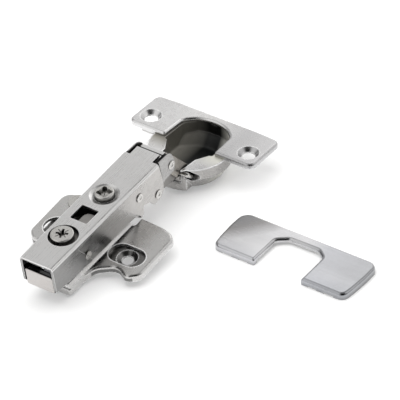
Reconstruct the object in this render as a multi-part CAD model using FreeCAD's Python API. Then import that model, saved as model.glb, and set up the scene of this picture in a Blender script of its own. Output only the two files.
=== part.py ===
import FreeCAD, Part
import math
import os

# Concealed cabinet hinge with a 35 mm cup on a two-layer wing mounting plate,
# shown fully open, with the loose cover of its cup flange beside it.
# +X runs along the arm to the cup, +Y to the wing with the height cam, +Z out
# of the cabinet side. The origin is on the seat of the plate, midway between
# its two screw holes.

# ---- driving dimensions, mm and degrees ----
SHEET = 1.1              # arm, bracket and link sheet

# mounting plate
HOLE_PITCH = 32.0
SCREW_HOLE_D = 4.6
CSK_D = 8.8
BASE_T = 2.0
WING_Z = 3.4             # top of the wings
WING_T = 1.3
HAT_Z = 4.4              # raised middle of the wing plate
WING_Y = 27.0
WINDOW_R = 5.1
WINDOW_L = 16.0
CAM_X, CAM_Y, CAM_D = 15.2, 19.3, 7.4
CAM_ECC = 2.3
HEIGHT_TRAVEL = 2.0

# arm
ARM_TILT = 1.82
ARM_Z0 = 20.3            # top of the arm over the origin
ARM_HALF, ARM_FLARE = 8.3, 0.0086    # half width over the origin, and its growth along X
ARM_REAR, ARM_WALL_FRONT, ARM_TONGUE = -34.3, 35.3, 40.4
TONGUE_HALF = 5.4
BEND_R = 1.3
DEPTH_X, DEPTH_Y, DEPTH_HOLE_D, DEPTH_HEAD_D = -16.4, 0.5, 12.4, 9.4
SIDE_X, SIDE_RING_D, SIDE_HEAD_D = 10.9, 12.4, 7.9
WINDOW_X0, WINDOW_X1, WINDOW_HALF = -6.7, 1.8, 4.1

# pivots in the side view (x, z)
PIN_A = (32.4, 5.8)      # arm pivot of the inner link
PIN_B = (43.7, 11.8)     # arm pivot of the outer link
PIN_S = (21.2, 13.0)     # spring pin
PIN_L = (-13.3, 11.3)    # release lever pivot
PIN_R = 1.3
LINK_OFF = 3.8           # web of the outer link from its pivot line

# cup, in its own frame: u away from the arm, w out of the door
CUP_X, CUP_Z, CUP_TILT = 72.3, 1.9, 8.4
CUP_D = 34.8
CUP_CU = -6.4            # cup centre from the screw line
SCREW_PITCH = 48.0
PIN_C = (-21.5, -3.6)
PIN_D = (-17.0, -8.0)
FLANGE_U0, FLANGE_U1, FLANGE_HALF, FLANGE_T = -7.2, 14.0, 30.5, 2.2
CUP_DEPTH, BOWL_R, FLOOR_W = 12.6, 13.4, -11.4

# table the parts lie on, as a slope in this frame
TABLE_TILT, TABLE_Z0 = 6.1, 3.6
COVER_L, COVER_W, COVER_H, COVER_T = 64.2, 23.5, 3.0, 0.7
COVER_X, COVER_Y = 27.0, -68.2

V = FreeCAD.Vector
os.makedirs("parts", exist_ok=True)


def save(shape, name):
    shape = shape.removeSplitter() if hasattr(shape, "removeSplitter") else shape
    if not shape.isValid():
        shape.fix(1e-6, 1e-6, 1e-5)
    print(name, len(shape.Solids), round(shape.Volume, 1), shape.isValid())
    shape.exportStep("parts/%s.step" % name)


def wire(pts, r=0.0):
    """Closed polygon of 3-D points; each corner rounded by r, or by its own r as a fourth number."""
    n = len(pts)
    P = [V(*p[:3]) for p in pts]
    R = [p[3] if len(p) > 3 else r for p in pts]
    a, b = [], []
    arcs = []
    for i in range(n):
        p, q, s = P[i - 1], P[i], P[(i + 1) % n]
        d1, d2 = (p - q), (s - q)
        l1, l2 = d1.Length, d2.Length
        d1.normalize()
        d2.normalize()
        ang = d1.getAngle(d2)
        if R[i] <= 1e-6 or ang > math.pi - 1e-3:
            a.append(q)
            b.append(q)
            arcs.append(None)
            continue
        t = min(R[i] / math.tan(ang / 2), 0.49 * l1, 0.49 * l2)
        rr = t * math.tan(ang / 2)
        s1, s2 = q + d1 * t, q + d2 * t
        bis = (d1 + d2)
        bis.normalize()
        mid = q + bis * (rr / math.sin(ang / 2) - rr)
        a.append(s1)
        b.append(s2)
        arcs.append(mid)
    edges = []
    for i in range(n):
        if arcs[i] is not None:
            edges.append(Part.Arc(a[i], arcs[i], b[i]).toShape())
        j = (i + 1) % n
        if (a[j] - b[i]).Length > 1e-6:
            edges.append(Part.makeLine(b[i], a[j]))
    return Part.Wire(edges)


def prism_xy(pts, z0, z1, r=0.0):
    w = wire([(p[0], p[1], z0) + tuple(p[2:3]) for p in pts], r)
    return Part.Face(w).extrude(V(0, 0, z1 - z0))


def prism_xz(pts, y0, y1, r=0.0):
    w = wire([(p[0], y0, p[1]) + tuple(p[2:3]) for p in pts], r)
    return Part.Face(w).extrude(V(0, y1 - y0, 0))


def box(x0, x1, y0, y1, z0, z1):
    return Part.makeBox(x1 - x0, y1 - y0, z1 - z0, V(x0, y0, z0))


def cyl_y(x, z, r, y0, y1):
    return Part.makeCylinder(r, y1 - y0, V(x, y0, z), V(0, 1, 0))


def cyl_z(x, y, r, z0, z1):
    return Part.makeCylinder(r, z1 - z0, V(x, y, z0), V(0, 0, 1))


def cone_z(x, y, r0, r1, z0, z1):
    return Part.makeCone(r0, r1, z1 - z0, V(x, y, z0), V(0, 0, 1))


def try_fillet(shape, r, pick):
    """Fillet the picked edges together, or one by one where they fail together."""
    es = [e for e in shape.Edges if pick(e)]
    if not es:
        return shape
    try:
        s = shape.makeFillet(r, es)
        if s.isValid() and s.Volume > 0:
            return s
    except Exception:
        pass
    for e in es:
        c = e.CenterOfMass
        for f in [x for x in shape.Edges if pick(x) and (x.CenterOfMass - c).Length < 0.05]:
            try:
                s = shape.makeFillet(r, [f])
                if s.isValid() and s.Volume > 0:
                    shape = s
            except Exception:
                pass
    return shape


def rivet(x, z, r, y0, y1, head=1.9, ht=0.35):
    """Cross pin with low flat heads outside y0 and y1."""
    s = cyl_y(x, z, r, y0, y1)
    h1 = cyl_y(x, z, head, y0 - ht, y0)
    h2 = cyl_y(x, z, head, y1, y1 + ht)
    d1 = cyl_y(x, z, 0.75, y0 - ht - 0.1, y0 - ht + 0.15)
    d2 = cyl_y(x, z, 0.75, y1 + ht - 0.15, y1 + ht + 0.1)
    return s.fuse([h1, h2]).cut(d1).cut(d2)


# ================= mounting plate =================
H = HOLE_PITCH / 2

OUT = [(20.2, -8.6, 0.5), (19.6, -20.0, 2.0), (17.6, -WING_Y, 5.2), (-6.5, -WING_Y, 4.2), (-10.3, -22.6, 2.8),
       (-6.6, -16.2, 5.0), (-11.6, -9.2, 5.0), (-17.0, -7.6, 6.0), (-26.6, -7.6, 1.2), (-26.6, 7.6, 1.2),
       (-17.0, 7.6, 6.0), (-11.6, 9.2, 5.0), (-6.6, 16.2, 5.0), (-10.3, 22.6, 2.8), (-6.5, WING_Y, 4.2),
       (17.6, WING_Y, 5.2), (19.6, 20.0, 2.0), (20.2, 8.6, 0.5), (15.4, 8.6, 0.8), (15.4, -8.6, 0.8)]


def scaled_outline(d):
    """The wing outline moved in by d."""
    w = wire([(p[0], p[1], 0.0, p[2]) for p in OUT])
    f = Part.Face(w)
    return f.makeOffset2D(-d)


# lower plate: inside the skirt of the upper one, with room for its travel
up_in = scaled_outline(WING_T + 0.25).extrude(V(0, 0, BASE_T))
dn_in = up_in.copy()
up_in.translate(V(0, HEIGHT_TRAVEL + 0.1, 0))
dn_in.translate(V(0, -HEIGHT_TRAVEL - 0.1, 0))
base = up_in.common(dn_in)
base = base.cut(box(-12, -5.9, 13.0, 19.5, -1, 4)).cut(box(-12, -5.9, -19.5, -13.0, -1, 4))
for s in (-1, 1):
    base = base.cut(cyl_z(0, s * H, SCREW_HOLE_D / 2, -1, 4))
    base = base.cut(cone_z(0, s * H, SCREW_HOLE_D / 2, CSK_D / 2, BASE_T - 1.6, BASE_T))
# slot for the eccentric of the height cam, and the holes of the guide rivets
base = base.cut(prism_xy([(CAM_X - 4.6, CAM_Y - 1.35), (CAM_X + 1.6, CAM_Y - 1.35), (CAM_X + 1.6, CAM_Y + 1.35),
                          (CAM_X - 4.6, CAM_Y + 1.35)], -1, 4, 1.0))
GUIDES = (-9.0, 7.4)
for gx in GUIDES:
    base = base.cut(cyl_z(gx, 0, 1.5, -1, 4))
save(base, "base_plate")

guides = []
for gx in GUIDES:
    g = cyl_z(gx, 0, 1.5, 0.0, HAT_Z + 0.1).fuse(cyl_z(gx, 0, 2.3, HAT_Z + 0.1, HAT_Z + 0.9))
    guides.append(g)
save(Part.makeCompound(guides), "guide_rivets")

face0 = Part.Face(wire([(p[0], p[1], 0.15, p[2]) for p in OUT]))
outer = face0.extrude(V(0, 0, WING_Z - 0.15))
shoulder = Part.makeLoft([wire([(-25.9, -7.0, WING_Z), (15.3, -7.9, WING_Z), (15.3, 7.9, WING_Z), (-25.9, 7.0, WING_Z)]),
                          wire([(-25.3, -5.8, HAT_Z), (14.7, -6.6, HAT_Z), (14.7, 6.6, HAT_Z), (-25.3, 5.8, HAT_Z)])], True, True)
top_skin = try_fillet(outer, 1.1, lambda e: abs(e.BoundBox.ZMin - WING_Z) < 1e-4 and abs(e.BoundBox.ZMax - WING_Z) < 1e-4)
wing = top_skin.fuse(shoulder)
inner_face = scaled_outline(WING_T)
inner = inner_face.extrude(V(0, 0, WING_Z - WING_T + 1.0))
inner.translate(V(0, 0, -1.0))
wing = wing.cut(inner)
wing = wing.cut(Part.makeLoft([wire([(-24.2, -5.9, WING_Z - WING_T - 0.1), (14.0, -6.8, WING_Z - WING_T - 0.1),
                                     (14.0, 6.8, WING_Z - WING_T - 0.1), (-24.2, 5.9, WING_Z - WING_T - 0.1)]),
                               wire([(-23.8, -4.8, HAT_Z - WING_T), (13.4, -5.6, HAT_Z - WING_T),
                                     (13.4, 5.6, HAT_Z - WING_T), (-23.8, 4.8, HAT_Z - WING_T)])], True, True))
for s in (-1, 1):
    yc = s * H
    half = WINDOW_L / 2 - WINDOW_R
    win = box(-WINDOW_R, WINDOW_R, yc - half, yc + half, 0, 6)
    win = win.fuse([cyl_z(0, yc - half, WINDOW_R, 0, 6), cyl_z(0, yc + half, WINDOW_R, 0, 6)])
    wing = wing.cut(win)
wing = wing.cut(cyl_z(CAM_X, CAM_Y, 2.75, 0, 6))
for gx in GUIDES:
    wing = wing.cut(box(gx - 1.65, gx + 1.65, -3.7, 3.7, 0, 8))
# hooks for the clip-on arm
hook_f = box(3.6, 4.8, -3.4, 3.4, HAT_Z - 0.4, 10.0).fuse(box(-0.4, 4.8, -3.4, 3.4, 8.9, 10.0))
hook_f = try_fillet(hook_f, 0.9, lambda e: e.Length > 6 and abs(e.CenterOfMass.x - 4.8) < 0.01 and abs(e.CenterOfMass.z - 10.0) < 0.01)
hook_r = box(-22.8, -21.6, -3.4, 3.4, HAT_Z - 0.4, 8.4).fuse(box(-24.4, -21.6, -3.4, 3.4, 7.4, 8.4))
wing = wing.fuse([hook_f, hook_r])
save(wing, "wing_plate")

cam = cyl_z(CAM_X, CAM_Y, 2.7, WING_Z - WING_T - 0.0, WING_Z + 0.05).fuse(cyl_z(CAM_X, CAM_Y, CAM_D / 2, WING_Z + 0.05, WING_Z + 0.75))
cam = try_fillet(cam, 0.35, lambda e: abs(e.BoundBox.ZMin - WING_Z - 0.75) < 1e-4 and abs(e.BoundBox.ZMax - WING_Z - 0.75) < 1e-4)
cam = cam.cut(box(CAM_X - 2.3, CAM_X + 2.3, CAM_Y - 0.5, CAM_Y + 0.5, WING_Z - 0.2, WING_Z + 2))
cam = cam.fuse(cyl_z(CAM_X - CAM_ECC, CAM_Y, 1.0, 0.1, WING_Z - WING_T))
save(cam, "height_cam")

# ================= clip-on inner parts =================


def arm_z(x, d=0.0):
    """Height of the arm's top face at x, d below it."""
    return ARM_Z0 - x * math.tan(math.radians(ARM_TILT)) - d


CAR_HALF = 5.6
car = prism_xz([(-24.3, HAT_Z + 1.2), (-24.3, 12.5), (-21.5, arm_z(-21.5, 3.25)), (-3.0, arm_z(-3, 3.25)), (2.5, 13.0),
                (14.6, 12.4), (17.2, 9.0), (16.2, HAT_Z + 1.2)], -CAR_HALF, CAR_HALF, 1.0)
car = car.cut(box(-30, 20, -CAR_HALF + SHEET, CAR_HALF - SHEET, HAT_Z + 1.2 + SHEET, 30))
car = car.cut(box(-26, -20.6, -4.5, 4.5, 0, 30)).cut(box(-1.4, 5.4, -4.5, 4.5, 0, 30))
car = car.cut(cyl_z(GUIDES[0], 0, 3.2, 0, 12))
car = car.cut(cyl_y(1.4, 7.5, 1.2, -9, 9))
# feet that stand on the raised middle of the wing plate
feet = [box(x0, x0 + 3.5, s * 5.05 - 0.55, s * 5.05 + 0.55, HAT_Z, HAT_Z + 1.3) for x0 in (-19.0, 6.5) for s in (-1, 1)]
car = car.fuse(feet)
save(car, "clip_carrier")
save(cyl_y(1.4, 7.5, 1.2, -CAR_HALF - 0.35, CAR_HALF + 0.35), "clip_pin")

ROT = (V(0, 0, ARM_Z0), V(0, 1, 0), ARM_TILT)


def on_arm(shape):
    """From the arm's own frame, top face at z 0, to its place."""
    shape = shape.copy()
    shape.translate(V(0, 0, ARM_Z0))
    shape.rotate(*ROT)
    return shape


# sheet that slides on the carrier under the depth screw
sl = prism_xy([(-22.4, -5.4), (-7.5, -5.4), (0.6, -5.4), (0.6, 1.5, 2.6), (-7.5, 1.5, 0.5), (-7.5, 5.4, 1.0), (-22.4, 5.4)], -3.1, -2.0, 0.6)
sl = sl.cut(cyl_z(DEPTH_X, DEPTH_Y, 2.75, -6, 0))
save(on_arm(sl), "depth_slide")

head = cyl_z(DEPTH_X, DEPTH_Y, DEPTH_HEAD_D / 2, -1.9, 0.95)
head = try_fillet(head, 0.5, lambda e: e.BoundBox.ZMin > 0.9)
for k in range(4):
    if k < 2:
        c = box(-2.55, 2.55, -0.5, 0.5, -0.7, 2)
    else:
        c = box(-2.9, 2.9, -0.17, 0.17, 0.55, 2)
    c.rotate(V(0, 0, 0), V(0, 0, 1), 20 + 90 * k if k < 2 else 65 + 90 * (k - 2))
    c.translate(V(DEPTH_X, DEPTH_Y, 0))
    head = head.cut(c)
head = head.cut(cone_z(DEPTH_X, DEPTH_Y, 0.4, 1.6, -0.75, 1.0))
head = head.fuse([cyl_z(DEPTH_X, DEPTH_Y, 2.7, -3.2, -1.9), cyl_z(DEPTH_X, DEPTH_Y, 2.0, -6.6, -3.2)])
snail = cyl_z(DEPTH_X + 0.7, DEPTH_Y, 3.3, -4.6, -3.3)
head = head.fuse(snail)
save(on_arm(head), "depth_screw")

# ================= arm =================
WALL = [(ARM_REAR + 0.1, 8.9, 0.6), (ARM_REAR, arm_z(ARM_REAR)), (ARM_WALL_FRONT, arm_z(ARM_WALL_FRONT)), (36.5, 9.3, 4.0), (35.9, 5.2, 2.5),
        (33.6, 2.7, 2.2), (29.2, 2.6, 0.8), (26.6, 6.2, 2.0), (23.0, 7.3, 0.8), (22.3, 6.0, 1.2), (22.6, 3.8, 1.0), (21.0, 2.8, 0.8),
        (19.6, 3.2, 0.6), (17.7, 5.3, 1.5), (7.2, 5.9, 0), (-1.6, 6.0, 0), (-10.2, 6.5, 0), (-15.3, 7.1, 0), (-30.6, 8.5, 0)]


def half(x):
    """Half width of the arm over its side walls at x."""
    return ARM_HALF + ARM_FLARE * x


def wedge(x0, x1, d=0.0):
    """Plan outline of the arm between x0 and x1, d inside its side walls."""
    return prism_xy([(x0, -half(x0) + d), (x1, -half(x1) + d), (x1, half(x1) - d), (x0, half(x0) - d)], -20, 40)


body = prism_xz(WALL, -12, 12).common(wedge(-36, 42))
body = try_fillet(body, BEND_R, lambda e: abs(e.CenterOfMass.y) > 8 and e.Length > 60 and e.CenterOfMass.z > 15)
tongue = prism_xz([(30.0, arm_z(30)), (ARM_TONGUE, arm_z(ARM_TONGUE)), (ARM_TONGUE, arm_z(ARM_TONGUE, SHEET)), (30.0, arm_z(30, SHEET))],
                  -TONGUE_HALF, TONGUE_HALF)
body = body.fuse(tongue)
IN = ARM_HALF - SHEET
void = prism_xz([(-40, -5), (-40, arm_z(-40, SHEET)), (45, arm_z(45, SHEET)), (45, -5)], -12, 12).common(wedge(-39, 44, SHEET))
void = try_fillet(void, 0.6, lambda e: e.Length > 60 and e.CenterOfMass.z > 10)
arm = body.cut(void)
arm = arm.cut(box(35.9, 45, TONGUE_HALF, 9, 14, 30)).cut(box(35.9, 45, -9, -TONGUE_HALF, 14, 30))
# pressed-in middle of both side walls
dent = [(-18.6, arm_z(-18.6, 2.1)), (7.2, arm_z(7.2, 2.1)), (20.6, 3.6), (17.0, 0.0), (-9.0, 0.0), (-10.5, 6.0), (-13.9, 11.9)]
for s in (-1, 1):
    y0 = s * (ARM_HALF - 0.45)
    y1 = s * (ARM_HALF + 2)
    arm = arm.cut(prism_xz(dent, min(y0, y1), max(y0, y1), 0.8))
cuts = [cyl_z(DEPTH_X, 0, DEPTH_HOLE_D / 2, -3, 3),
        prism_xy([(WINDOW_X0, -WINDOW_HALF), (WINDOW_X1, -WINDOW_HALF), (WINDOW_X1, WINDOW_HALF), (WINDOW_X0, WINDOW_HALF)], -3, 3, 0.7),
        cyl_z(SIDE_X, 0, SIDE_HEAD_D / 2 + 0.3, -4, 3),
        cone_z(SIDE_X, 0, SIDE_HEAD_D / 2 + 0.8, SIDE_RING_D / 2, -0.75, 0.02)]
dish = cone_z(SIDE_X, 0, SIDE_HEAD_D / 2 + 1.1, SIDE_RING_D / 2 + 0.3, -SHEET - 0.7, -SHEET + 0.06)
arm = arm.fuse(on_arm(dish))
for c in cuts:
    arm = arm.cut(on_arm(c))
for (px, pz) in (PIN_A, PIN_S):
    arm = arm.cut(cyl_y(px, pz, PIN_R, -10, 10))
arm = arm.cut(cyl_y(PIN_L[0], PIN_L[1], 1.2, -10, 10))
save(arm, "arm_housing")

side = cyl_z(SIDE_X, 0, SIDE_HEAD_D / 2, -1.75, 1.2)
side = try_fillet(side, 0.4, lambda e: e.BoundBox.ZMin > 1.1)
socket = cone_z(SIDE_X, 0, 1.7, 2.5, -0.55, 1.21)
for k in range(4):
    c = cyl_z(2.35, 0, 0.95, -0.55, 3).fuse(box(0, 2.35, -0.95, 0.95, -0.55, 3))
    c.rotate(V(0, 0, 0), V(0, 0, 1), 33 + 90 * k)
    c.translate(V(SIDE_X, 0, 0))
    socket = socket.fuse(c)
side = side.cut(socket)
side = side.cut(cone_z(SIDE_X, 0, 0.3, 1.1, -1.05, -0.5))
side = side.fuse([cyl_z(SIDE_X, 0, 2.9, -6.0, -1.75), cyl_z(SIDE_X, 0, 2.3, -13.0, -6.0)])
save(on_arm(side), "side_screw")

# bracket inside the arm that carries the link pivots on its front ears
B_OUT = half(18.2) - SHEET - 0.05
B_IN = B_OUT - SHEET
EAR_IN, EAR_OUT = 6.65, 7.75
inner_part = [(18.2, 9.0, 1.0), (18.2, arm_z(18.2, 1.2), 1.0), (44.3, arm_z(44.3, 1.5), 0.6), (44.3, 12.0), (37.4, 8.0, 1.5),
              (35.2, 3.9, 2.0), (31.2, 3.2, 2.0), (28.8, 5.2, 2.0), (24.0, 8.6, 2.0)]
br = prism_xz(inner_part, -B_OUT, B_OUT)
br = try_fillet(br, 1.4, lambda e: abs(abs(e.CenterOfMass.y) - B_OUT) < 1e-3 and e.Length > 20 and e.CenterOfMass.z > 16)
br = br.cut(prism_xz([(0, -5), (0, arm_z(0, 2.3)), (60, arm_z(60, 2.3)), (60, -5)], -B_IN, B_IN))
# its sides end behind the ears, and slots free the web from them
for s in (-1, 1):
    ya, yb = sorted((s * 5.45, s * 9.0))
    br = br.cut(box(37.2, 50, ya, yb, 0, 30))
    ya, yb = sorted((s * 5.45, s * EAR_IN))
    br = br.cut(box(36.0, 50, ya, yb, 12.5, 30))
# the web is cut away over the spring and under the end of the tongue
br = br.cut(prism_xy([(24.0, -3.6), (38.0, -3.6), (38.0, 3.6), (24.0, 3.6)], 14, 30, 1.0))
br = br.cut(prism_xy([(39.6, -4.6), (41.75, -4.6), (41.75, 4.6), (39.6, 4.6)], 14, 30, 0.4))
EAR = [(35.62, arm_z(35.6, 0.45), 0.4), (42.6, arm_z(42.6, 0.75), 2.5), (44.9, 17.0, 2.5), (46.0, 12.6, 2.0), (45.2, 7.9, 1.2), (38.2, 7.7, 1.5), (36.25, 5.6, 0.6),
       (36.75, 8.6, 3.0)]
for s in (-1, 1):
    ya, yb = sorted((s * EAR_IN, s * EAR_OUT))
    ear = prism_xz(EAR, ya, yb)
    ear = try_fillet(ear, 0.9, lambda e: abs(e.CenterOfMass.y - s * EAR_OUT) < 1e-3 and e.Length > 4 and e.CenterOfMass.z > 16)
    br = br.fuse(ear)
for (px, pz) in (PIN_A, PIN_B, PIN_S):
    br = br.cut(cyl_y(px, pz, PIN_R, -12, 12))
save(br, "front_bracket")

HA, HS, HL = half(PIN_A[0]) + 0.02, half(PIN_S[0]) + 0.02, half(PIN_L[0]) + 0.02
save(rivet(PIN_A[0], PIN_A[1], PIN_R, -HA, HA), "arm_pin_inner")
save(rivet(PIN_S[0], PIN_S[1], PIN_R, -HS, HS), "spring_pin")
save(rivet(PIN_B[0], PIN_B[1], PIN_R, -EAR_OUT, EAR_OUT, 1.9, 0.3), "arm_pin_outer")

# double-leg closing spring round its pin
coil = []
R_COIL, WIRE = 2.9, 0.55
hel = Part.makeHelix(1.25, 5.0, R_COIL)
prof = Part.Wire([Part.makeCircle(WIRE, V(R_COIL, 0, 0), V(0, 1, 0))])
sp = Part.Wire(hel).makePipeShell([prof], True, True)
sp.rotate(V(0, 0, 0), V(1, 0, 0), -90)
sp.translate(V(PIN_S[0], -2.5, PIN_S[1]))
bb = sp.BoundBox
leg1 = Part.makeCylinder(WIRE, 7.5, V(PIN_S[0] + R_COIL, 2.5, PIN_S[1] - 0.2), V(0.52, 0, -0.85))
leg1 = Part.makeCylinder(WIRE, 4.6, V(PIN_S[0] + R_COIL, 2.5, PIN_S[1]), V(0.45, 0, -0.89))
leg2 = Part.makeCylinder(WIRE, 7.0, V(PIN_S[0] + R_COIL, -2.5, PIN_S[1]), V(0.72, 0, 0.30))
ends = [Part.makeSphere(WIRE, V(PIN_S[0] + R_COIL, y, PIN_S[1])) for y in (-2.5, 2.5)]
spring = sp.fuse([leg1, leg2] + ends)
save(spring, "closing_spring")

# ================= release lever =================
L_OUT, L_IN = 6.75, 5.75
lev = prism_xz([(-34.2, 7.3, 0.6), (-34.2, 15.6, 0.6), (-30.0, 14.6, 2.0), (-16.0, 13.6, 2.0), (-10.6, 13.6, 2.2), (-10.6, 9.0, 2.2),
                (-16.0, 8.6, 2.0), (-24.5, 8.9, 1.5), (-27.2, 7.8, 0.8)], -L_OUT, L_OUT)
lev = lev.cut(box(-33.1, -5, -L_IN, L_IN, 0, 30))
lev = try_fillet(lev, 0.8, lambda e: abs(e.BoundBox.XMin + 34.2) < 0.02 and abs(e.BoundBox.XMax + 34.2) < 0.02 and e.BoundBox.ZLength > 5)
bar = box(-28.2, -27.2, -L_OUT, L_OUT, 8.2, 10.6)
nose = box(-28.2, -26.0, -3.0, 3.0, 8.6, 9.6)
lev = lev.fuse([bar, nose])
lev = lev.cut(cyl_y(PIN_L[0], PIN_L[1], 1.23, -10, 10))
save(lev, "release_lever")
stub = []
for s in (-1, 1):
    ya, yb = sorted((s * 5.7, s * HL))
    st = cyl_y(PIN_L[0], PIN_L[1], 1.2, ya, yb)
    # the wall is pressed in here, so the head sits on the wall's own face
    hy = sorted((s * HL, s * (HL + 0.35)))
    st = st.fuse(cyl_y(PIN_L[0], PIN_L[1], 1.8, hy[0], hy[1]))
    stub.append(st)
save(Part.makeCompound(stub), "lever_pins")
# small leaf spring from under the arm's top to the lever's bar
leaf = prism_xz([(-23.2, arm_z(-23.2, SHEET)), (-28.0, arm_z(-28.0, SHEET), 0.8), (-28.0, 10.62), (-27.65, 10.62),
                 (-27.65, arm_z(-27.65, SHEET + 0.35), 0.45), (-23.2, arm_z(-23.2, SHEET + 0.35))], -2.5, 2.5)
save(leaf, "lever_spring")

# ================= cup =================


def on_cup(shape):
    """From the cup's own frame, origin on the screw line at the flange top, to its place."""
    shape = shape.copy()
    shape.translate(V(CUP_X, 0, CUP_Z))
    shape.rotate(V(CUP_X, 0, CUP_Z), V(0, 1, 0), CUP_TILT)
    return shape


FL = [(FLANGE_U0, -FLANGE_HALF, 3.2), (FLANGE_U1 - 0.6, -FLANGE_HALF + 0.2, 3.0), (FLANGE_U1, -20.0, 0), (FLANGE_U1, 20.0, 0),
      (FLANGE_U1 - 0.6, FLANGE_HALF - 0.2, 3.0), (FLANGE_U0, FLANGE_HALF, 3.2)]
fl = prism_xy(FL, -FLANGE_T, 0)
fl = try_fillet(fl, 1.1, lambda e: abs(e.BoundBox.ZMin) < 1e-5 and abs(e.BoundBox.ZMax) < 1e-5)
under = Part.Face(wire([(p[0], p[1], -FLANGE_T - 1, p[2]) for p in FL])).makeOffset2D(-1.3).extrude(V(0, 0, 1 + FLANGE_T - 1.3))
fl = fl.cut(under.cut(cyl_z(CUP_CU, 0, CUP_D / 2, -9, 3)).cut(cyl_z(0, 24, 5.4, -9, 3)).cut(cyl_z(0, -24, 5.4, -9, 3)))
R0 = CUP_D / 2
bowl = Part.Face(Part.makePolygon([V(CUP_CU, 0, -1.9), V(CUP_CU + R0, 0, -1.9), V(CUP_CU + R0, 0, -6.6), V(CUP_CU + BOWL_R, 0, -CUP_DEPTH),
                                   V(CUP_CU, 0, -CUP_DEPTH), V(CUP_CU, 0, -1.9)])).revolve(V(CUP_CU, 0, 0), V(0, 0, 1), 360)
bowl = try_fillet(bowl, 1.4, lambda e: abs(e.BoundBox.ZMax + CUP_DEPTH) < 1e-4 and e.Length > 10)
hump = cyl_z(CUP_CU, 0, R0 - 0.05, -CUP_DEPTH + 0.02, -2.5).common(box(-30, -9.0, -8.7, 8.7, -20, 0))
hump = try_fillet(hump, 1.6, lambda e: abs(e.BoundBox.ZMax + CUP_DEPTH - 0.02) < 1e-4 and e.CenterOfMass.x < -9.1)
cup = bowl.fuse(hump)
# opening in the flange with a rolled edge, and the cavity under it
CUT_TOP = [(-30.0, 12.4, 0), (-7.0, 12.2, 0.6), (5.2, 11.6, 3.8), (10.4, 5.4, 3.8), (10.4, -5.4, 3.8), (5.2, -11.6, 3.8), (-7.0, -12.2, 0.6), (-30.0, -12.4, 0)]
opening = prism_xy(CUT_TOP, -5, 2).common(cyl_z(CUP_CU, 0, R0 - 0.7, -5, 2).fuse(box(-30, CUP_CU, -15, 15, -5, 2)))
fl = fl.cut(opening)
fl = try_fillet(fl, 1.0, lambda e: abs(e.BoundBox.ZMin) < 1e-5 and abs(e.BoundBox.ZMax) < 1e-5 and e.BoundBox.XMax < 11 and abs(e.CenterOfMass.y) < 13.2 and e.CenterOfMass.x > -7.1)
cup = cup.fuse(fl)
lug = box(FLANGE_U0, FLANGE_U0 + 1.3, 18.0, 23.6, -3.1, -FLANGE_T + 0.2)
cup = cup.fuse(lug)


PLAN = [(-8.0, 11.8, 1.0), (5.2, 11.4, 4.0), (10.2, 5.4, 4.0), (10.2, -5.4, 4.0), (5.2, -11.4, 4.0), (-8.0, -11.8, 1.0)]
cavity = Part.Face(Part.makePolygon([V(CUP_CU, 0, FLOOR_W), V(CUP_CU + 13.0, 0, FLOOR_W), V(CUP_CU + 16.7, 0, -6.3), V(CUP_CU + 16.7, 0, 1.0),
                                     V(CUP_CU, 0, 1.0), V(CUP_CU, 0, FLOOR_W)])).revolve(V(CUP_CU, 0, 0), V(0, 0, 1), 360)
cavity = cavity.common(prism_xy(PLAN, FLOOR_W - 1, 2))
cavity = try_fillet(cavity, 1.4, lambda e: e.BoundBox.ZMax < FLOOR_W + 0.05)
# link channel through the front, with its funnel-shaped mouth
chan = Part.makeLoft([wire([(-6.9, -11.9, 1.0), (-6.9, 11.9, 1.0), (-13.6, 7.4, 1.0), (-20.6, 7.0, 1.0), (-22.2, 5.8, 1.0), (-22.2, -5.8, 1.0),
                            (-20.6, -7.0, 1.0), (-13.6, -7.4, 1.0)]),
                      wire([(-6.9, -8.7, FLOOR_W), (-6.9, 8.7, FLOOR_W), (-13.6, 7.3, FLOOR_W), (-20.6, 6.9, FLOOR_W), (-22.2, 5.7, FLOOR_W),
                            (-22.2, -5.7, FLOOR_W), (-20.6, -6.9, FLOOR_W), (-13.6, -7.3, FLOOR_W)])], True, True)
deep = prism_xy([(-7.0, -7.2), (-7.0, 7.2), (-14.0, 7.2), (-20.6, 6.9), (-22.2, 5.7), (-22.2, -5.7), (-20.6, -6.9), (-14.0, -7.2)], FLOOR_W - 0.6, 1)
notch = box(-30, -20, -6.6, 6.6, -7.9, 5)
cup = cup.cut(cavity).cut(chan).cut(deep).cut(notch)
for s in (-1, 1):
    cup = cup.cut(cyl_z(0, s * 24, 2.7, -5, 3)).cut(cone_z(0, s * 24, 2.7, 4.5, -1.7, 0.01))


def cup_pt(p):
    return p


# U-pin: two legs across the cup joined by a bend
cu, cw = PIN_C
du, dw = PIN_D
UY0, UY1 = -9.0, 8.7
leg_c = cyl_y(cu, cw, 1.2, UY0, 7.9)
leg_d = cyl_y(du, dw, 1.2, UY0, 8.6)
dirv = V(du - cu, 0, dw - cw)
bend = Part.makeCylinder(1.2, dirv.Length, V(cu, UY0, cw), dirv)
upin = leg_c.fuse([leg_d, bend, Part.makeSphere(1.2, V(cu, UY0, cw)), Part.makeSphere(1.2, V(du, UY0, dw))])
cup = cup.cut(upin)
# pocket in the outside wall that shows the bend of the U-pin
mu, mw = cu + 0.47 * (du - cu), cw + 0.47 * (dw - cw)
n = V(-(dw - cw), 0, du - cu)
n.normalize()
r = 1.5
pk = Part.Face(wire([(cu + n.x * r, -20, cw + n.z * r), (mu + n.x * r, -20, mw + n.z * r), (mu - n.x * r, -20, mw - n.z * r), (cu - n.x * r, -20, cw - n.z * r)])).extrude(V(0, 11.9, 0))
pk = pk.fuse([cyl_y(cu, cw, r, -20, -8.1), cyl_y(mu, mw, r, -20, -8.1)])
cup = cup.cut(pk)
big = max(cup.Solids, key=lambda q: q.Volume)
save(on_cup(big), "cup")
save(on_cup(upin), "cup_pin")


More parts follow.
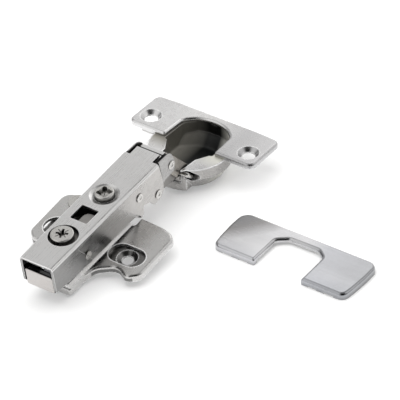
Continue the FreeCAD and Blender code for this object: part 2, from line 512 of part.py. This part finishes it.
def cup_to_frame(p):
    t = math.radians(CUP_TILT)
    return (CUP_X + p[0] * math.cos(t) + p[1] * math.sin(t), CUP_Z - p[0] * math.sin(t) + p[1] * math.cos(t))


C = cup_to_frame(PIN_C)
D = cup_to_frame(PIN_D)

# ================= links =================


def link_frame(p, q):
    """Unit vector from p to q and its left-hand normal in the side view."""
    L = math.hypot(q[0] - p[0], q[1] - p[1])
    e = ((q[0] - p[0]) / L, (q[1] - p[1]) / L)
    return L, e, (-e[1], e[0])


def lp(p, e, nn, s, t, r=0.0):
    return (p[0] + e[0] * s + nn[0] * t, p[1] + e[1] * s + nn[1] * t, r)


LB, eb, nb = link_frame(PIN_B, D)
O_OUT = 6.4
O_IN = O_OUT - SHEET
shape = [lp(PIN_B, eb, nb, -3.2, -1.6, 2.6), lp(PIN_B, eb, nb, -3.2, 2.4, 2.6), lp(PIN_B, eb, nb, -0.2, LINK_OFF, 2.0), lp(PIN_B, eb, nb, 15.0, LINK_OFF, 2.2),
         lp(PIN_B, eb, nb, LB + 2.7, 2.2, 2.4), lp(PIN_B, eb, nb, LB + 2.7, -2.6, 2.4), lp(PIN_B, eb, nb, LB - 4.0, -2.9, 2.0), lp(PIN_B, eb, nb, 1.0, -3.1, 2.6)]
ol = prism_xz(shape, -O_OUT, O_OUT)
hollow = [lp(PIN_B, eb, nb, -9, -9), lp(PIN_B, eb, nb, -9, 1.4), lp(PIN_B, eb, nb, 0.2, LINK_OFF - 1.1), lp(PIN_B, eb, nb, 14.6, LINK_OFF - 1.1), lp(PIN_B, eb, nb, LB + 9, 0.2), lp(PIN_B, eb, nb, LB + 9, -9)]
ol = ol.cut(prism_xz(hollow, -O_IN, O_IN))
# the side walls reach round the other cup pin
ol = ol.cut(prism_xz([lp(PIN_B, eb, nb, 10.8, -8.0), lp(PIN_B, eb, nb, 10.8, 1.3, 1.45), lp(PIN_B, eb, nb, 13.9, 1.3, 1.45), lp(PIN_B, eb, nb, 14.3, -1.6, 1.0), lp(PIN_B, eb, nb, 16.2, -8.0)], -O_OUT - 1, O_OUT + 1))
for p in (PIN_B, D):
    ol = ol.cut(cyl_y(p[0], p[1], (PIN_R if p is PIN_B else 1.2) + 0.05, -10, 10))
save(ol, "outer_link")

LA, ea, na_ = link_frame(C, PIN_A)
I_OUT = O_IN - 0.15
I_IN = I_OUT - 1.1
ishape = [lp(C, ea, na_, -2.4, -2.4, 2.35), lp(C, ea, na_, -2.4, 2.4, 2.35), lp(C, ea, na_, 4.0, 2.4, 2.0), lp(C, ea, na_, LA - 6.5, 2.9, 2.0),
          lp(C, ea, na_, LA + 3.4, 3.0, 3.0), lp(C, ea, na_, LA + 3.4, -5.1, 3.0), lp(C, ea, na_, LA - 6.0, -5.1, 3.0), lp(C, ea, na_, LA - 9.5, -2.4, 2.0),
          lp(C, ea, na_, 4.0, -2.4, 2.0)]
il = prism_xz(ishape, -I_OUT, I_OUT)
ihollow = [lp(C, ea, na_, 3.0, -9), lp(C, ea, na_, 3.0, 1.3), lp(C, ea, na_, LA + 9, 1.3), lp(C, ea, na_, LA + 9, -9)]
il = il.cut(prism_xz(ihollow, -I_IN, I_IN))
il = il.cut(cyl_y(C[0], C[1], 1.25, -10, 10))
# clearance hole round the arm pin
slot = prism_xz([lp(C, ea, na_, LA - 4.7, -3.8, 1.4), lp(C, ea, na_, LA + 2.1, -3.8, 1.4), lp(C, ea, na_, LA + 2.1, 1.6, 1.4), lp(C, ea, na_, LA - 4.7, 1.6, 1.4)], -10, 10)
il = il.cut(slot)
save(il, "inner_link")

# ================= cover =================
cl = COVER_L / 2
CO = [(0, -cl + 1.3, 3.2), (6.0, -cl + 0.5, 8.0), (14.0, -cl, 16.0), (COVER_W, -cl + 0.2, 4.4), (COVER_W, cl - 0.2, 5.2), (14.0, cl, 16.0),
      (6.0, cl - 0.5, 8.0), (0, cl - 1.3, 3.2), (0, 11.3, 0.7), (15.0, 11.2, 2.6), (18.2, 6.6, 2.6), (18.4, -6.8, 2.6), (15.4, -10.7, 2.6), (0, -10.7, 0.7)]
cf = Part.Face(wire([(p[0], p[1], 0, p[2]) for p in CO]))
cv = cf.extrude(V(0, 0, COVER_H))
cv = try_fillet(cv, 1.35, lambda e: abs(e.BoundBox.ZMin - COVER_H) < 1e-5)
cv = cv.cut(cf.makeOffset2D(-COVER_T).extrude(V(0, 0, COVER_H - COVER_T - 0.45)))
cv = cv.cut(cf.makeOffset2D(-COVER_T - 0.8).extrude(V(0, 0, COVER_H - COVER_T)))
# shallow lip round the cutout, and the scalloped lower edge of the front skirts
cv = cv.cut(prism_xy([(2.2, 12.6), (15.6, 12.6, 2.6), (19.5, 7.4, 2.6), (19.7, -7.6, 2.6), (16.0, -12.0, 2.6), (2.2, -12.0)], -1, 1.35))
for y0, y1 in ((14.6, 18.4), (22.0, 26.4), (-18.0, -14.2), (-26.0, -21.6)):
    cv = cv.cut(box(-1, 1.2, y0, y1, -1, 0.45))


def on_table(shape):
    """From the table's frame to this one."""
    shape = shape.copy()
    shape.translate(V(0, 0, -TABLE_Z0))
    shape.rotate(V(0, 0, 0), V(0, 1, 0), TABLE_TILT)
    return shape


cv.translate(V(COVER_X, COVER_Y, 0))
save(on_table(cv), "cover_plate")
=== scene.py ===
import bpy
import bmesh
import math
from mathutils import Matrix, Vector

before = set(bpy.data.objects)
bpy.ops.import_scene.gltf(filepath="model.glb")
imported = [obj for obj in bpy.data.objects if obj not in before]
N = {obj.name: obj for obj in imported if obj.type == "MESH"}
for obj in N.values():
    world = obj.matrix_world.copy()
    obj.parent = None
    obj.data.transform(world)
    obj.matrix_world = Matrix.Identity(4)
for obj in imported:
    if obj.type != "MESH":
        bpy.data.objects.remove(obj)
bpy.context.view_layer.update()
scene = bpy.context.scene

# ------------------------------------------------------------------ helpers


class Graph:
    """Short calls for building one material's node tree."""

    def __init__(self, name):
        self.mat = bpy.data.materials.new(name)
        self.mat.use_nodes = True
        self.t = self.mat.node_tree
        self.t.nodes.clear()
        self.out = self.n("ShaderNodeOutputMaterial")
        self.b = self.n("ShaderNodeBsdfPrincipled")
        self.l(self.b.outputs[0], self.out.inputs[0])

    def n(self, kind, **props):
        node = self.t.nodes.new(kind)
        for k, v in props.items():
            if k.startswith("i_"):
                node.inputs[k[2:].replace("_", " ")].default_value = v
            else:
                setattr(node, k, v)
        return node

    def l(self, a, b):
        self.t.links.new(a, b)

    def coords(self, scale, rot=(0, 0, 0)):
        """Object coordinates, turned and stretched."""
        tc = self.n("ShaderNodeTexCoord")
        mp = self.n("ShaderNodeMapping")
        mp.inputs["Scale"].default_value = scale
        mp.inputs["Rotation"].default_value = rot
        self.l(tc.outputs["Object"], mp.inputs["Vector"])
        return mp.outputs["Vector"]

    def noise(self, vec, scale, detail=3.0, rough=0.55, distortion=0.0):
        nz = self.n("ShaderNodeTexNoise")
        nz.inputs["Scale"].default_value = scale
        nz.inputs["Detail"].default_value = detail
        nz.inputs["Roughness"].default_value = rough
        nz.inputs["Distortion"].default_value = distortion
        self.l(vec, nz.inputs["Vector"])
        return nz.outputs["Fac"]

    def ramp(self, fac, stops):
        r = self.n("ShaderNodeValToRGB")
        els = r.color_ramp.elements
        els[0].position, els[1].position = stops[0][0], stops[-1][0]
        els[0].color, els[1].color = (*stops[0][1], 1), (*stops[-1][1], 1)
        for p, c in stops[1:-1]:
            els.new(p).color = (*c, 1)
        self.l(fac, r.inputs["Fac"])
        return r.outputs["Color"]

    def span(self, fac, a, b, lo=0.3, hi=0.7):
        m = self.n("ShaderNodeMapRange")
        m.inputs["From Min"].default_value = lo
        m.inputs["From Max"].default_value = hi
        m.inputs["To Min"].default_value = a
        m.inputs["To Max"].default_value = b
        self.l(fac, m.inputs["Value"])
        return m.outputs["Result"]

    def mix(self, fac, a, b, blend="MIX"):
        m = self.n("ShaderNodeMix", data_type="RGBA", blend_type=blend)
        m.inputs["Factor"].default_value = fac if not hasattr(fac, "links") else 0.5
        if hasattr(fac, "links"):
            self.l(fac, m.inputs["Factor"])
        self.l(a, m.inputs["A"])
        self.l(b, m.inputs["B"])
        return m.outputs["Result"]

    def math(self, op, a, b=None, v=0.0):
        m = self.n("ShaderNodeMath", operation=op)
        self.l(a, m.inputs[0])
        if b is not None:
            self.l(b, m.inputs[1])
        else:
            m.inputs[1].default_value = v
        return m.outputs[0]


def plated(name, tone, dark, rough, along=(1, 1, 1), rot=(0, 0, 0), streak=0.35, grime=0.12, bevel=0.00025, bump=0.02, waves=0.0, inside=None, crevice=0.0035, soft=None, painted_shade_along=(), edge_highlight=0.0):
    """Nickel-plated steel: brushed streaks, cloudy tone, a little grime where the sheet is uneven, with painted shade
    in crevices, in given regions and along the sheet, and painted highlights on the rolled edges.
    """
    g = Graph(name)
    g.b.inputs["Metallic"].default_value = 1.0
    g.b.inputs["Specular IOR Level"].default_value = 0.5
    cloud = g.noise(g.coords((1, 1, 1)), 110.0, 4.0, 0.6, 0.4)
    speck = g.noise(g.coords((1, 1, 1)), 700.0, 3.0, 0.6)
    lines = g.noise(g.coords(along, rot), 1.0, 5.0, 0.62)
    fine = g.noise(g.coords(tuple(2.7 * a for a in along), rot), 1.0, 3.0, 0.6)
    base = g.ramp(cloud, [(0.28, dark), (0.62, tone)])
    streaks = g.ramp(lines, [(0.30, tuple(c * (1 - 0.30 * streak) for c in tone)), (0.68, tuple(min(1.0, c * 1.06) for c in tone))])
    col = g.mix(0.45, base, streaks)
    spots = g.ramp(speck, [(0.30, (0.62, 0.60, 0.57)), (0.47, (1, 1, 1))])
    col = g.mix(grime, col, spots, "MULTIPLY")
    dull = metal = shut_in = None
    for at, turn, reach, stops in painted_shade_along:
        # painted shade: a slow change of tone along one direction of the sheet, painting the fall of light across it
        tc = g.n("ShaderNodeTexCoord")
        mp = g.n("ShaderNodeMapping")
        mp.vector_type = "TEXTURE"
        mp.inputs["Location"].default_value = at
        mp.inputs["Rotation"].default_value = (0.0, 0.0, math.radians(turn))
        g.l(tc.outputs["Object"], mp.inputs["Vector"])
        sep = g.n("ShaderNodeSeparateXYZ")
        g.l(mp.outputs["Vector"], sep.inputs[0])
        col = g.mix(1.0, col, g.ramp(g.span(sep.outputs["X"], 0.0, 1.0, -reach, reach), stops), "MULTIPLY")
    for kind, at, tilt, size, top, shade in inside or ():
        # painted shade by place, darkening a region inside a bowl round an axis, below a height, inside or
        # outside a channel along X, in the slots beside a web, in a band, or before or behind a face across X
        tc = g.n("ShaderNodeTexCoord")
        mp = g.n("ShaderNodeMapping")
        mp.vector_type = "TEXTURE"
        mp.inputs["Location"].default_value = at
        mp.inputs["Rotation"].default_value = (0.0, tilt, 0.0)
        g.l(tc.outputs["Object"], mp.inputs["Vector"])
        sep = g.n("ShaderNodeSeparateXYZ")
        g.l(mp.outputs["Vector"], sep.inputs[0])
        both = g.span(sep.outputs["Z"], 1.0, 0.0, top - 0.0001, top + 0.0001)
        if kind == "bowl":
            flat = g.n("ShaderNodeCombineXYZ")
            g.l(sep.outputs["X"], flat.inputs["X"])
            g.l(sep.outputs["Y"], flat.inputs["Y"])
            ln = g.n("ShaderNodeVectorMath", operation="LENGTH")
            g.l(flat.outputs[0], ln.inputs[0])
            both = g.math("MULTIPLY", both, g.span(ln.outputs["Value"], 1.0, 0.0, size - 0.0002, size + 0.0002))
            both = g.math("MULTIPLY", both, g.span(sep.outputs["X"], 0.0, 1.0, -0.0095, -0.0025))
        elif kind == "band":
            for out, half in ((sep.outputs["X"], size), (sep.outputs["Y"], 0.0056)):
                ab = g.n("ShaderNodeMath", operation="ABSOLUTE")
                g.l(out, ab.inputs[0])
                both = g.math("MULTIPLY", both, g.span(ab.outputs[0], 1.0, 0.0, half - 0.00006, half + 0.00006))
        elif kind == "before":
            both = g.math("MULTIPLY", both, g.span(sep.outputs["X"], 1.0, 0.0, size - 0.00008, size + 0.00008))
        elif kind == "behind":
            both = g.math("MULTIPLY", both, g.span(sep.outputs["X"], 0.0, 1.0, size - 0.0001, size + 0.0001))
        elif kind != "below":
            ab = g.n("ShaderNodeMath", operation="ABSOLUTE")
            g.l(sep.outputs["Y"], ab.inputs[0])
            wide = g.math("SUBTRACT", ab.outputs[0], g.math("MULTIPLY", sep.outputs["X"], v=ARM_FLARE))
            if kind == "flank":
                both = g.math("MULTIPLY", both, g.span(wide, 0.0, 1.0, size - 0.0002, size + 0.0002))
            elif kind == "channel":
                both = g.math("MULTIPLY", both, g.span(wide, 1.0, 0.0, size - 0.00008, size + 0.00008))
                both = g.math("MULTIPLY", both, g.span(sep.outputs["X"], 1.0, 0.0, 0.036, 0.040))
            elif kind == "wall":
                both = g.math("MULTIPLY", both, g.span(wide, 0.0, 1.0, size - 0.0002, size + 0.0002))
                both = g.math("MULTIPLY", both, g.span(sep.outputs["X"], 1.0, 0.0, -0.012, 0.020))
            else:
                both = g.math("MULTIPLY", both, g.span(ab.outputs[0], 0.0, 1.0, size[0] - 0.00006, size[0] + 0.00006))
                both = g.math("MULTIPLY", both, g.span(ab.outputs[0], 1.0, 0.0, size[1] - 0.00006, size[1] + 0.00006))
        shade_mottled = g.ramp(cloud, [(0.3, tuple(0.84 * c for c in shade)), (0.7, shade)])
        # in the bowl: painted reflections lighten the side walls and painted shade blackens the middle; the sheet there
        # is also rougher and less metallic
        if kind == "bowl":
            side = g.span(sep.outputs["Y"], 0.0, 1.0, -0.0125, 0.0125)
            shade_mottled = g.mix(1.0, shade_mottled, g.ramp(side, BOWL_LIGHT_AND_SHADE), "MULTIPLY")
            dull = g.math("MULTIPLY", both, v=0.12)
            metal = g.span(both, 1.0, 0.45, 0.0, 1.0)
            shut_in = g.span(both, 1.0, 0.12, 0.0, 1.0)
        col = g.mix(both, col, shade_mottled)
    if edge_highlight:
        # painted highlight: the rolled edges are painted near-white and made less metallic, brighter than the flat
        # sheet
        wide_bev = g.n("ShaderNodeBevel", samples=6)
        wide_bev.inputs["Radius"].default_value = edge_highlight
        geo = g.n("ShaderNodeNewGeometry")
        dot = g.n("ShaderNodeVectorMath", operation="DOT_PRODUCT")
        g.l(wide_bev.outputs[0], dot.inputs[0])
        g.l(geo.outputs["Normal"], dot.inputs[1])
        edge = g.span(dot.outputs["Value"], 1.0, 0.0, 0.92, 0.99)
        if shut_in is not None:
            edge = g.math("MULTIPLY", edge, shut_in)
        col = g.mix(edge, col, g.ramp(cloud, [(0.3, (0.90, 0.90, 0.90)), (0.7, (0.96, 0.96, 0.96))]))
        soften = g.span(edge, 1.0, 0.30, 0.0, 1.0)
        metal = soften if metal is None else g.math("MULTIPLY", metal, soften)
    # painted shade: the colour is darkened where the surface is enclosed: gaps, corners and the undersides of edges
    ao = g.n("ShaderNodeAmbientOcclusion", samples=8)
    ao.inputs["Distance"].default_value = crevice
    crevice_shade = g.ramp(ao.outputs["AO"], [(0.18, (0.05, 0.05, 0.052)), (0.50, (0.62, 0.615, 0.61)), (0.80, (1, 1, 1))])
    col = g.mix(1.0, col, crevice_shade, "MULTIPLY")
    g.l(col, g.b.inputs["Base Color"])
    if metal is not None:
        g.l(metal, g.b.inputs["Metallic"])
    r1 = g.span(lines, rough - 0.05, rough + 0.09)
    r2 = g.span(cloud, -0.03, 0.06)
    total = g.math("ADD", r1, r2)
    if dull is not None:
        total = g.math("ADD", total, dull)
    g.l(total, g.b.inputs["Roughness"])
    bev = g.n("ShaderNodeBevel", samples=6)
    bev.inputs["Radius"].default_value = bevel
    if soft:
        at, tilt, r = soft
        tc = g.n("ShaderNodeTexCoord")
        mp = g.n("ShaderNodeMapping")
        mp.vector_type = "TEXTURE"
        mp.inputs["Location"].default_value = at
        mp.inputs["Rotation"].default_value = (0.0, tilt, 0.0)
        g.l(tc.outputs["Object"], mp.inputs["Vector"])
        sep = g.n("ShaderNodeSeparateXYZ")
        g.l(mp.outputs["Vector"], sep.inputs[0])
        g.l(g.span(sep.outputs["Z"], r, bevel, -0.0055, -0.0035), bev.inputs["Radius"])
    bp = g.n("ShaderNodeBump")
    bp.inputs["Strength"].default_value = bump
    bp.inputs["Distance"].default_value = 0.00005
    g.l(g.math("ADD", fine, lines), bp.inputs["Height"])
    g.l(bev.outputs[0], bp.inputs["Normal"])
    last = bp.outputs[0]
    if waves:
        b2 = g.n("ShaderNodeBump")
        b2.inputs["Strength"].default_value = waves
        b2.inputs["Distance"].default_value = 0.0004
        g.l(g.noise(g.coords((1, 1, 1)), 75.0, 1.0, 0.4), b2.inputs["Height"])
        g.l(last, b2.inputs["Normal"])
        last = b2.outputs[0]
    g.l(last, g.b.inputs["Normal"])
    return g.mat


ARM_FLARE, ARM_TILT = 0.0086, 1.82
WARM = (0.73, 0.727, 0.726)
WARM_D = (0.64, 0.635, 0.63)
COOL = (0.68, 0.68, 0.69)
ALONG_X = (60.0, 2600.0, 2600.0)
ALONG_Y = (2600.0, 60.0, 2600.0)
ALONG_Z = (2600.0, 2600.0, 90.0)

TOP_AT, TOP_TURN = (0.0, 0.0, 0.0203), math.radians(ARM_TILT)
CUP_AT, CUP_TURN = (0.065969, 0.0, 0.002835), math.radians(8.4)
# painted light and shade across the inside of the cup's bowl, side to side: bright painted reflections on the side
# walls, near-black painted shade in the middle
BOWL_LIGHT_AND_SHADE = [(0.0, (1.2, 1.2, 1.15)), (0.22, (0.80, 0.80, 0.78)), (0.37, (0.004, 0.006, 0.007)), (0.60, (0.008, 0.009, 0.009)), (0.78, (0.24, 0.235, 0.22)), (1.0, (0.60, 0.58, 0.54))]
M = {
    # arm: painted shade darkens the outer walls, heavier towards the rear, and makes the inside channel near black; the
    # rolled edges get a painted highlight
    "arm": plated("nickel_arm", WARM, WARM_D, 0.27, ALONG_X, streak=0.7, waves=0.05, edge_highlight=0.0003,
                  inside=[("flank", TOP_AT, TOP_TURN, 0.0077, -0.0012, (0.60, 0.585, 0.57)),
                          ("wall", TOP_AT, TOP_TURN, 0.0077, -0.0012, (0.31, 0.308, 0.305)),
                          ("channel", TOP_AT, TOP_TURN, 0.0075, -0.0007, (0.10, 0.098, 0.095))]),
    # bracket: painted shadow makes the slots beside the web, a thin band across X and the region before a tilted face
    # near black; painted shade darkens the outer ears
    "bracket": plated("nickel_bracket", WARM, WARM_D, 0.27, ALONG_X, streak=0.6, waves=0.05,
                      inside=[("slot", TOP_AT, TOP_TURN, (0.00545, 0.00735), 0.002, (0.02, 0.02, 0.02)),
                              ("slot", (0.0, 0.0, 0.0), 0.0, (0.0074, 0.03), 0.03, (0.50, 0.495, 0.49)),
                              ("band", (0.04185, 0.0, 0.0), 0.0, 0.00035, 0.03, (0.02, 0.02, 0.02)),
                              ("before", (0.0371, 0.0, 0.0128), math.radians(-5.0), 0.0, 0.03, (0.02, 0.02, 0.02))]),
    # lever: painted shade makes the part forward of x = -33.9 mm, inside the housing, near black
    "lever": plated("nickel_lever", (0.60, 0.575, 0.56), (0.53, 0.505, 0.49), 0.30, ALONG_Y, streak=0.6, waves=0.05,
                    inside=[("behind", (0.0, 0.0, 0.0), 0.0, -0.0339, 0.03, (0.03, 0.03, 0.03))]),
    # link: toned darker and browner than the other nickel parts, a painted shade for its place in the cup behind the
    # ear
    "link": plated("nickel_link", (0.46, 0.435, 0.40), (0.34, 0.32, 0.29), 0.30, ALONG_X, streak=0.5, waves=0.05),
    # plate: painted shade darkens the sheet between |y| 8.5 and 24.5 mm below 2.1 mm, seen in the windows and along the
    # concave skirt; the rolled edges get a painted highlight
    "plate": plated("nickel_plate", (0.61, 0.605, 0.60), (0.50, 0.492, 0.48), 0.25, (500, 500, 500), streak=0.25, grime=0.05, bump=0.006, waves=0.06, edge_highlight=0.0009,
                    inside=[("slot", (0.0, 0.0, 0.0), 0.0, (0.0085, 0.0245), 0.0021, (0.20, 0.198, 0.195))]),
    # inner parts: toned dark, a painted shade for the enclosed inside of the housing
    "inner": plated("nickel_inner", (0.36, 0.35, 0.34), (0.26, 0.25, 0.24), 0.36, ALONG_X),
    # cup: painted shade makes the flange darker towards one end along Y and the wall below the flange darker; painted
    # light and shade inside the bowl; painted highlight on the rolled edges
    "cup": plated("nickel_cup", WARM, WARM_D, 0.24, (500, 500, 500), streak=0.25, grime=0.04, bump=0.006, waves=0.06, soft=(CUP_AT, CUP_TURN, 0.0016), edge_highlight=0.0008,
                  painted_shade_along=[((0.0, 0.0, 0.0), 90.0, 0.031, [(0.0, (0.70, 0.70, 0.71)), (0.25, (0.66, 0.66, 0.67)), (0.55, (1, 1, 1)), (1.0, (0.98, 0.98, 0.99))])],
                  inside=[("below", CUP_AT, CUP_TURN, 0.0, -0.0024, (0.43, 0.42, 0.41)),
                          ("bowl", CUP_AT, CUP_TURN, 0.0169, -0.0012, (0.50, 0.495, 0.47))]),
    # cover: painted shade across the top, a dark band near the front edge, darker towards one end along Y and a darker
    # corner beyond a diagonal; painted highlight on the rolled edges
    "cover": plated("nickel_cover", (0.66, 0.66, 0.675), (0.60, 0.60, 0.615), 0.17, ALONG_Y, streak=0.12, grime=0.05, waves=0.03, edge_highlight=0.0007,
                    painted_shade_along=[((0.027, -0.068, 0.0), 0.0, 0.012, [(0.05, (1, 1, 1)), (0.11, (0.60, 0.62, 0.65)), (0.50, (0.84, 0.845, 0.86)), (0.80, (0.88, 0.88, 0.88)), (1.0, (0.80, 0.80, 0.80))]),
                                ((0.0, -0.068, 0.0), -90.0, 0.026, [(0.50, (1, 1, 1)), (0.70, (0.76, 0.77, 0.79)), (1.0, (0.68, 0.69, 0.70))]),
                                ((0.0375, -0.042, 0.0), 48.0, 0.0075, [(0.25, (1, 1, 1)), (0.72, (0.52, 0.51, 0.50)), (1.0, (0.45, 0.45, 0.45))])]),
    "screw": plated("nickel_screw", (0.64, 0.63, 0.61), (0.50, 0.49, 0.47), 0.26, (1500, 1500, 1500), streak=0.5, bevel=0.00015, crevice=0.0022),
    "pin": plated("bright_pin", (0.70, 0.69, 0.67), (0.58, 0.57, 0.55), 0.22, (1500, 1500, 1500), streak=0.3, bevel=0.00018),
    "spring": plated("spring_wire", (0.12, 0.12, 0.13), (0.07, 0.07, 0.08), 0.30, (1500, 1500, 1500), streak=0.3, bevel=0.0001),
}
USES = {
    "base_plate": "plate", "guide_rivets": "pin", "wing_plate": "plate", "height_cam": "screw", "clip_carrier": "inner",
    "clip_pin": "pin", "depth_slide": "inner", "depth_screw": "screw", "arm_housing": "arm", "side_screw": "screw",
    "front_bracket": "bracket", "arm_pin_inner": "pin", "spring_pin": "pin", "arm_pin_outer": "pin", "closing_spring": "spring",
    "release_lever": "lever", "lever_pins": "pin", "lever_spring": "spring", "cup": "cup", "cup_pin": "pin",
    "outer_link": "link", "inner_link": "inner", "cover_plate": "cover",
}
for name, key in USES.items():
    me = N[name].data
    me.materials.clear()
    me.materials.append(M[key])

# ------------------------------------------------------------------ floor


def pale_floor():
    g = Graph("pale_floor")
    c = g.ramp(g.noise(g.coords((1, 1, 1)), 9.0, 3.0, 0.5), [(0.3, (0.90, 0.90, 0.90)), (0.7, (0.93, 0.93, 0.93))])
    g.l(c, g.b.inputs["Base Color"])
    g.b.inputs["Roughness"].default_value = 0.7
    g.b.inputs["Specular IOR Level"].default_value = 0.25
    return g.mat


me = bpy.data.meshes.new("floor")
bm = bmesh.new()
bmesh.ops.create_grid(bm, x_segments=8, y_segments=8, size=1.6)
bm.to_mesh(me)
bm.free()
floor = bpy.data.objects.new("floor", me)
scene.collection.objects.link(floor)
floor.matrix_world = Matrix.Rotation(math.radians(6.1), 4, "Y") @ Matrix.Translation((0.0, 0.0, -0.00362))
me.materials.append(pale_floor())

# ------------------------------------------------------------------ light

world = bpy.data.worlds.new("studio")
scene.world = world
world.use_nodes = True
wt = world.node_tree
wt.nodes.clear()
wout = wt.nodes.new("ShaderNodeOutputWorld")
wbg = wt.nodes.new("ShaderNodeBackground")
wtc = wt.nodes.new("ShaderNodeTexCoord")


def toward(direction, lo, hi, v0, v1):
    """A smooth patch of the studio round one direction: v0 away from it, v1 in it."""
    dp = wt.nodes.new("ShaderNodeVectorMath")
    dp.operation = "DOT_PRODUCT"
    dp.inputs[1].default_value = Vector(direction).normalized()
    wt.links.new(wtc.outputs["Generated"], dp.inputs[0])
    m = wt.nodes.new("ShaderNodeMapRange")
    m.interpolation_type = "SMOOTHSTEP"
    m.inputs["From Min"].default_value = lo
    m.inputs["From Max"].default_value = hi
    m.inputs["To Min"].default_value = v0
    m.inputs["To Max"].default_value = v1
    wt.links.new(dp.outputs["Value"], m.inputs["Value"])
    return m.outputs["Result"]


def wmath(op, a, b):
    m = wt.nodes.new("ShaderNodeMath")
    m.operation = op
    wt.links.new(a, m.inputs[0])
    wt.links.new(b, m.inputs[1])
    return m.outputs[0]


right_side = toward((0.94, 0.05, 0.33), -0.05, 0.95, 0.02, 0.84)
left_side = toward((-0.78, 0.55, 0.42), 0.55, 0.92, 0.0, 0.95)
front_gap = toward((-0.30, -0.62, 0.72), 0.66, 0.93, 1.0, 0.15)
level = wmath("MULTIPLY", wmath("ADD", right_side, left_side), front_gap)
upper_left = toward((-0.28, 0.48, 0.83), 0.84, 0.97, 0.0, 1.0)
front_roll = toward((0.10, 0.48, 0.87), 0.93, 0.985, 0.0, 0.75)
right_roll = toward((0.55, -0.56, 0.62), 0.84, 0.96, 0.0, 1.0)
right_gap = toward((0.55, 0.08, 0.83), 0.945, 0.985, 1.0, 0.30)
level = wmath("MAXIMUM", wmath("MULTIPLY", level, right_gap), wmath("MAXIMUM", wmath("MAXIMUM", upper_left, front_roll), right_roll))
horizon = toward((0.0, 0.0, 1.0), 0.10, 0.34, 0.85, 0.0)
level = wmath("MAXIMUM", level, horizon)
tint = wt.nodes.new("ShaderNodeValToRGB")
tint.color_ramp.elements[0].color = (0.0, 0.0, 0.0, 1)
tint.color_ramp.elements[1].color = (1.0, 0.995, 0.985, 1)
wt.links.new(level, tint.inputs["Fac"])
wt.links.new(tint.outputs["Color"], wbg.inputs["Color"])
wbg.inputs["Strength"].default_value = 1.0
wt.links.new(wbg.outputs[0], wout.inputs[0])


def area(name, loc, aim, size, power, color=(1, 1, 1)):
    d = bpy.data.lights.new(name, "AREA")
    d.shape = "RECTANGLE"
    d.size, d.size_y = size
    d.energy = power
    d.color = color
    o = bpy.data.objects.new(name, d)
    scene.collection.objects.link(o)
    o.location = loc
    o.rotation_mode = "QUATERNION"
    o.rotation_quaternion = (Vector(aim) - Vector(loc)).to_track_quat("-Z", "Y")
    return o


area("softbox", (0.46, 0.08, 0.24), (0.072, -0.02, 0), (0.26, 0.30), 0.20, (1.0, 0.99, 0.98))
over = area("overhead", (0.10, 0.15, 1.15), (0.05, 0.0, 0), (1.2, 1.2), 7.0)
over.visible_glossy = False
fill = area("fill", (0.10, 0.15, 1.15), (0.05, 0.0, 0), (1.2, 1.2), 10.0)
fill.visible_glossy = False
fill.data.use_shadow = False

# ------------------------------------------------------------------ camera

cam_data = bpy.data.cameras.new("camera")
cam = bpy.data.objects.new("camera", cam_data)
scene.collection.objects.link(cam)
cam_data.sensor_width = 36.0
cam_data.lens = 360.0
cam_data.clip_start, cam_data.clip_end = 0.05, 20.0
right = Vector((0.568787, -0.814158, -0.116740))
up = Vector((0.609383, 0.321825, 0.724624))
back = right.cross(up).normalized()
rot = Matrix((right, up, back)).transposed()
cam.matrix_world = Matrix.Translation((-0.832286, -0.786130, 1.075044)) @ rot.to_4x4()
scene.camera = cam
scene.view_settings.view_transform = "Standard"
